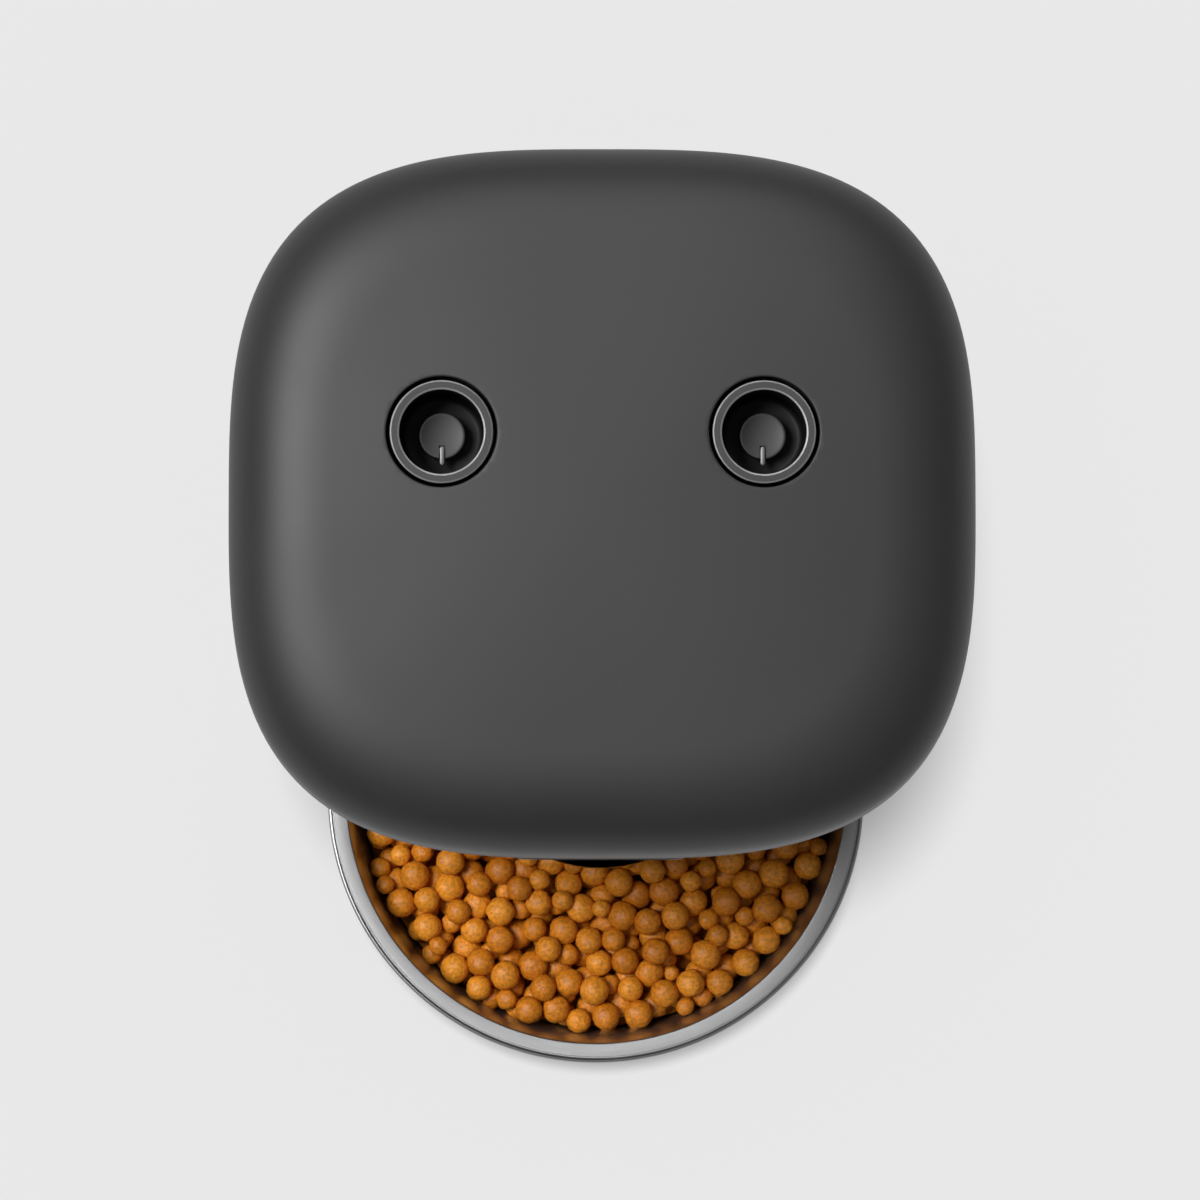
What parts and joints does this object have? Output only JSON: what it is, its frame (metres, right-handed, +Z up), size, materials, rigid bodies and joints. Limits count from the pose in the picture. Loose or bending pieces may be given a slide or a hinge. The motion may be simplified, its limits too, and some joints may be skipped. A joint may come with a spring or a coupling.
{
  "type": "automatic pet feeder",
  "caption": "Gravity-fed pet food dispenser: hopper head with a domed camera and a twist-locked pillow lid, over a round steel bowl on a sliding tray in a curved alcove.",
  "frame": {"origin": "on the table, under the middle of the whole outline", "axes": "+Z up; the bowl and the camera face -Y; +X to the right of someone facing the back, which is the right of the picture"},
  "size_m": [0.21, 0.2572, 0.3399],
  "materials": {
    "graphite_plastic": "fine matt moulded grain, satin",
    "black_plastic": "satin moulded",
    "hopper_plastic": "smoky translucent, smooth",
    "window_plastic": "polished, dark tinted",
    "lens": "coated optics in a matt black mask",
    "gear_nylon": "natural nylon",
    "light_guide": "milky diffuser",
    "rubber": "soft matt",
    "bowl_steel": "spun and brushed, polished bead",
    "shaft_steel": "ground",
    "pointer_metal": "satin",
    "bolt_metal": "die cast, tumbled",
    "motor_can": "zinc plated sheet",
    "circuit_board": "solder mask",
    "cell_sleeve": "plain coloured sleeve over a metal can",
    "dry_food": "baked, rough and slightly oily"
  },
  "bodies": {
    "stand": {"base_plate": "black_plastic", "foot_rear_left": "rubber", "foot_rear_right": "rubber", "foot_side_left": "rubber", "foot_side_right": "rubber", "foot_front": "rubber", "column_housing": "graphite_plastic", "alcove_liner": "black_plastic", "battery_box": "black_plastic", "battery_cell_left": "cell_sleeve", "battery_cell_middle": "cell_sleeve", "battery_cell_right": "cell_sleeve", "main_board": "circuit_board", "power_socket": "black_plastic", "head_shell": "graphite_plastic", "head_floor": "black_plastic", "hopper": "hopper_plastic", "camera_bezel": "graphite_plastic", "camera_window": "window_plastic", "camera_lens": "lens", "camera_board": "circuit_board", "speaker_grille": "black_plastic", "speaker": "black_plastic", "status_light": "light_guide", "motor": "motor_can", "idler_axle": "shaft_steel", "gear_plate": "black_plastic", "metering_pot": "black_plastic", "metering_hood": "black_plastic", "chute": "black_plastic", "flap_pin": "shaft_steel", "left_keeper": "shaft_steel", "right_keeper": "shaft_steel"},
    "lid": {"lid_shell": "graphite_plastic", "lid_pan": "black_plastic", "lid_seal": "rubber", "desiccant_box": "black_plastic"},
    "left_lock": {"left_lock_cup": "graphite_plastic", "left_lock_cap": "graphite_plastic", "left_lock_pointer": "pointer_metal", "left_lock_shaft": "gear_nylon"},
    "right_lock": {"right_lock_cup": "graphite_plastic", "right_lock_cap": "graphite_plastic", "right_lock_pointer": "pointer_metal", "right_lock_shaft": "gear_nylon"},
    "left_bolt": {"left_lock_bolt": "bolt_metal"},
    "right_bolt": {"right_lock_bolt": "bolt_metal"},
    "canister_cap": {"desiccant_cap": "graphite_plastic"},
    "tray": {"bowl_tray": "graphite_plastic"},
    "bowl": {"bowl": "bowl_steel", "kibble_fill": "dry_food"},
    "flap": {"chute_flap": "black_plastic"},
    "button": {"feed_button": "graphite_plastic"},
    "rear_cover": {"battery_cover": "graphite_plastic"},
    "rotor": {"impeller": "rubber", "stirrer": "gear_nylon", "drive_shaft": "shaft_steel", "drive_gear": "gear_nylon"},
    "idler": {"idler_gear": "gear_nylon"},
    "pinion": {"motor_pinion": "gear_nylon"}
  },
  "joints": [
    {"name": "lid_lift", "type": "slide", "parent": "stand", "child": "lid", "axis": [0, 0, 1], "range_m": [0, 0.14]},
    {"name": "left_lock_turn", "type": "hinge", "parent": "lid", "child": "left_lock", "pos_m": [-0.0447, 0.0467, 0.3], "axis": [0, 0, -1], "range_deg": [0, 90]},
    {"name": "left_bolt_slide", "type": "slide", "parent": "lid", "child": "left_bolt", "axis": [-1, 0, 0], "range_m": [0, 0.0066]},
    {"name": "right_lock_turn", "type": "hinge", "parent": "lid", "child": "right_lock", "pos_m": [0.0447, 0.0467, 0.3], "axis": [0, 0, 1], "range_deg": [0, 90]},
    {"name": "right_bolt_slide", "type": "slide", "parent": "lid", "child": "right_bolt", "axis": [1, 0, 0], "range_m": [0, 0.0066]},
    {"name": "canister_cap_turn", "type": "hinge", "parent": "lid", "child": "canister_cap", "pos_m": [0, 0.029, 0.268], "axis": [0, 0, 1], "range_deg": [0, 30]},
    {"name": "tray_slide", "type": "slide", "parent": "stand", "child": "tray", "axis": [0, -1, 0], "range_m": [0, 0.12]},
    {"name": "bowl_lift", "type": "slide", "parent": "tray", "child": "bowl", "axis": [0, 0, 1], "range_m": [0, 0.05]},
    {"name": "flap_swing", "type": "hinge", "parent": "stand", "child": "flap", "pos_m": [0, -0.0148, 0.1455], "axis": [1, 0, 0], "range_deg": [0, 70], "stiffness_Nm_per_rad": 0.002, "springref_deg": -40.11},
    {"name": "button_press", "type": "slide", "parent": "stand", "child": "button", "axis": [0, 1, 0], "range_m": [0, 0.0015], "stiffness_N_per_m": 400, "springref_m": -0.001},
    {"name": "rear_cover_slide", "type": "slide", "parent": "stand", "child": "rear_cover", "axis": [0, 1, 0], "range_m": [0, 0.05]},
    {"name": "rotor_spin", "type": "hinge", "parent": "stand", "child": "rotor", "pos_m": [0, 0.022, 0.19], "axis": [0, 0, 1], "continuous": true},
    {"name": "idler_spin", "type": "hinge", "parent": "stand", "child": "idler", "pos_m": [0.01342, 0.04117, 0.17], "axis": [0, 0, 1], "continuous": true},
    {"name": "pinion_spin", "type": "hinge", "parent": "stand", "child": "pinion", "pos_m": [0.00404, 0.06129, 0.165], "axis": [0, 0, 1], "continuous": true}
  ],
  "couplings": [
    {"joint": "left_bolt_slide", "follows": "left_lock_turn", "m_per_rad": 0.0042},
    {"joint": "right_bolt_slide", "follows": "right_lock_turn", "m_per_rad": 0.0042},
    {"joint": "idler_spin", "follows": "rotor_spin", "ratio": -2.5455},
    {"joint": "pinion_spin", "follows": "rotor_spin", "ratio": 6.0165}
  ]
}
